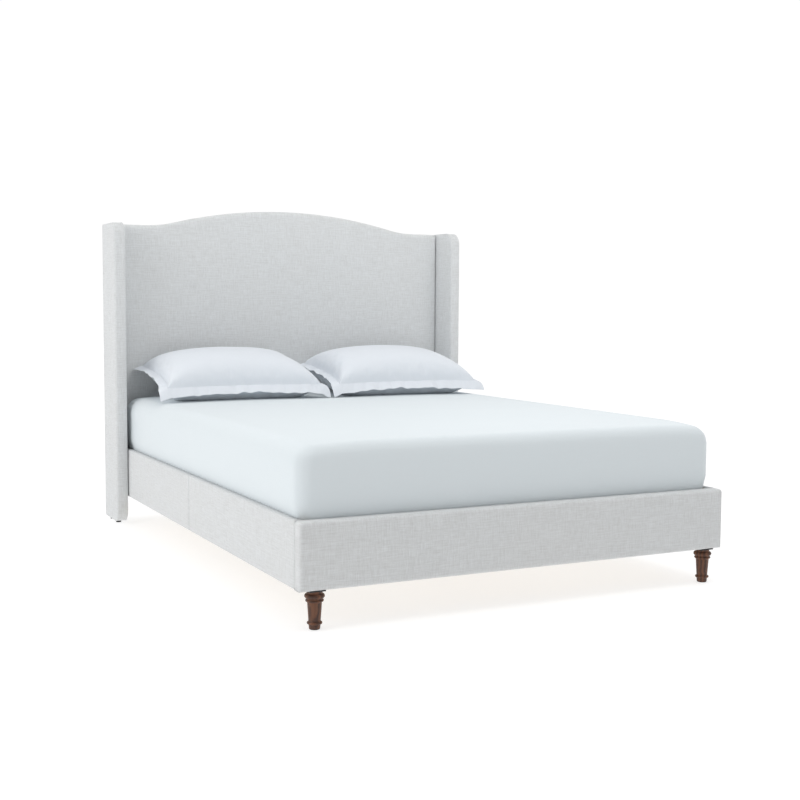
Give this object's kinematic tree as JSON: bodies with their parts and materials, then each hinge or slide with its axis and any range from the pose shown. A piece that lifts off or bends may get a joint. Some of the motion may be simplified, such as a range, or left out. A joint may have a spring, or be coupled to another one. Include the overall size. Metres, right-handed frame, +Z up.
{
  "type": "upholstered headboard bed",
  "caption": "Upholstered bed with a camelback headboard, side wings, padded rails, turned wooden feet and slats, dressed with a mattress and flanged pillows.",
  "frame": {"origin": "on the floor, under the middle of the bed's length and width", "axes": "+Z up, +Y from the foot rail to the headboard, +X to the right of someone standing at the foot and facing the headboard"},
  "size_m": [1.686, 2.182, 1.3858],
  "materials": {
    "linen": "matte",
    "padding": "matte",
    "plywood": "satin",
    "pine": "satin",
    "slat_wood": "satin",
    "walnut": "satin",
    "bracket_steel": "satin",
    "zinc_fastener": "satin",
    "black_plastic": "matte",
    "back_cloth": "matte",
    "webbing": "matte",
    "mattress_foam": "matte",
    "white_cotton": "matte",
    "pillow_fill": "matte"
  },
  "bodies": {
    "frame": {"centre_beam_bolts": "zinc_fastener", "centre_beam_foot": "pine", "centre_beam_head": "pine", "centre_beam_sockets": "bracket_steel", "centre_legs": "pine", "centre_splice_plates": "bracket_steel", "foot_corner_blocks": "pine", "foot_corner_bolts": "zinc_fastener", "foot_leg_glides": "black_plastic", "foot_leg_left": "walnut", "foot_leg_plates": "bracket_steel", "foot_leg_right": "walnut", "foot_leg_studs": "zinc_fastener", "foot_rail_board": "plywood", "foot_rail_cover": "linen", "foot_rail_padding": "padding", "head_bracket_bolts": "zinc_fastener", "head_brackets": "bracket_steel", "headboard_back_cloth": "back_cloth", "headboard_cover": "linen", "headboard_foam": "padding", "headboard_frame": "pine", "headboard_panel": "plywood", "rail_splice_bolts": "zinc_fastener", "rail_splice_plates": "bracket_steel", "side_rail_board_left_foot": "plywood", "side_rail_board_left_head": "plywood", "side_rail_board_right_foot": "plywood", "side_rail_board_right_head": "plywood", "side_rail_cover_left_foot": "linen", "side_rail_cover_left_head": "linen", "side_rail_cover_right_foot": "linen", "side_rail_cover_right_head": "linen", "side_rail_padding_left_foot": "padding", "side_rail_padding_left_head": "padding", "side_rail_padding_right_foot": "padding", "side_rail_padding_right_head": "padding", "slat_ledges": "pine", "wing_board_left": "plywood", "wing_board_right": "plywood", "wing_bolts": "zinc_fastener", "wing_cover_left": "linen", "wing_cover_right": "linen", "wing_foam_left": "padding", "wing_foam_right": "padding", "wing_glides": "black_plastic", "wood_screws": "zinc_fastener"},
    "slat_deck": {"slats": "slat_wood", "slat_straps": "webbing"},
    "mattress": {"mattress_core": "mattress_foam", "mattress_comfort_layer": "mattress_foam", "fitted_sheet": "white_cotton"},
    "pillow_left": {"pillow_insert_left": "pillow_fill", "pillow_sham_left": "white_cotton"},
    "pillow_right": {"pillow_insert_right": "pillow_fill", "pillow_sham_right": "white_cotton"},
    "leveller_1": {"levelling_foot_1": "black_plastic"},
    "leveller_2": {"levelling_foot_2": "black_plastic"},
    "leveller_3": {"levelling_foot_3": "black_plastic"}
  },
  "joints": [
    {"name": "slat_lift", "type": "slide", "parent": "frame", "child": "slat_deck", "axis": [0, 0, 1], "range_m": [0, 0.35]},
    {"name": "mattress_lift", "type": "slide", "parent": "slat_deck", "child": "mattress", "axis": [0, 0, 1], "range_m": [0, 0.35]},
    {"name": "pillow_left_lift", "type": "slide", "parent": "mattress", "child": "pillow_left", "axis": [0, 0, 1], "range_m": [0, 0.3]},
    {"name": "pillow_right_lift", "type": "slide", "parent": "mattress", "child": "pillow_right", "axis": [0, 0, 1], "range_m": [0, 0.3]},
    {"name": "leveller_1_travel", "type": "slide", "parent": "frame", "child": "leveller_1", "axis": [0, 0, 1], "range_m": [0, 0.012]},
    {"name": "leveller_2_travel", "type": "slide", "parent": "frame", "child": "leveller_2", "axis": [0, 0, 1], "range_m": [0, 0.012]},
    {"name": "leveller_3_travel", "type": "slide", "parent": "frame", "child": "leveller_3", "axis": [0, 0, 1], "range_m": [0, 0.012]}
  ]
}
